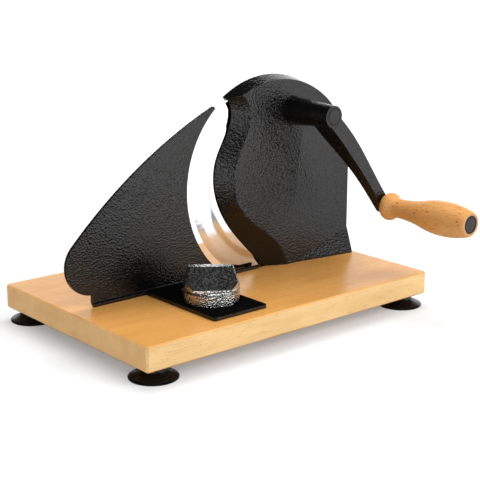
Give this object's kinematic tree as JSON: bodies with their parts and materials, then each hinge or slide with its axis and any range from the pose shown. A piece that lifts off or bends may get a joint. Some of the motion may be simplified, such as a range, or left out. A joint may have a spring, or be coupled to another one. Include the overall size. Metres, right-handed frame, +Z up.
{
  "type": "bread slicer with crank",
  "caption": "Hand-cranked bread slicer: geared round blade in a cast housing on a wooden board, with a sliding fence clamped by a knob and a crank with a turning grip.",
  "frame": {"origin": "middle of the whole object's footprint, on the table that its suction cups stand on", "axes": "+X along the board towards the blade, +Y towards the bread side, away from the crank, +Z up"},
  "size_m": [0.337, 0.29, 0.219],
  "materials": {
    "beech": "oiled beech",
    "black_paint": "black hammer finish, glossy",
    "silver_paint": "silver hammer finish",
    "blade_steel": "polished",
    "steel": "plain turned steel",
    "bronze": "sintered bronze",
    "rubber": "black, smooth",
    "grey_cap": "dark grey, satin"
  },
  "bodies": {
    "base": {"base_board": "beech", "housing": "black_paint", "blade_spindle": "steel", "spindle_washer": "steel", "spindle_screw": "steel", "housing_screws": "steel", "cup_screws": "steel", "clamp_stud": "steel", "crank_bush": "bronze", "suction_cup_front_left": "rubber", "suction_cup_front_right": "rubber", "suction_cup_back_left": "rubber", "suction_cup_back_right": "rubber"},
    "blade_unit": {"blade": "blade_steel", "blade_gear": "steel", "gear_rivets": "steel", "blade_bush": "bronze"},
    "crank": {"crank_shaft": "steel", "drive_pinion": "steel", "crank_arm": "black_paint", "arm_cross_pin": "steel", "hub_cap": "grey_cap", "handle_pin": "steel"},
    "grip": {"handle_grip": "beech", "grip_cap": "grey_cap"},
    "fence": {"fence_plate": "black_paint", "guide_pins": "steel"},
    "clamp_lift": {"clamp_washer": "steel"},
    "knob": {"clamp_knob": "silver_paint", "knob_insert": "bronze"}
  },
  "joints": [
    {"name": "blade_spin", "type": "hinge", "parent": "base", "child": "blade_unit", "pos_m": [0.0665, 0.0348, 0.118], "axis": [0, 1, 0], "continuous": true},
    {"name": "crank_turn", "type": "hinge", "parent": "base", "child": "crank", "pos_m": [0.08644, 0.018, 0.18405], "axis": [0, 1, 0], "continuous": true},
    {"name": "grip_spin", "type": "hinge", "parent": "crank", "child": "grip", "pos_m": [0.14652, -0.044, 0.09431], "axis": [0, 1, 0], "continuous": true},
    {"name": "fence_slide", "type": "slide", "parent": "base", "child": "fence", "axis": [0, 1, 0], "range_m": [-0.014, 0.002]},
    {"name": "knob_turn", "type": "hinge", "parent": "clamp_lift", "child": "knob", "pos_m": [-0.0543, -0.0235, 0.0385], "axis": [0, 0, 1], "range_deg": [0, 1260]},
    {"name": "knob_lift", "type": "slide", "parent": "base", "child": "clamp_lift", "axis": [0, 0, 1], "range_m": [0, 0.00438]}
  ],
  "couplings": [
    {"joint": "crank_turn", "follows": "blade_spin", "ratio": -2.1364},
    {"joint": "knob_lift", "follows": "knob_turn", "m_per_rad": 0.00019894}
  ]
}
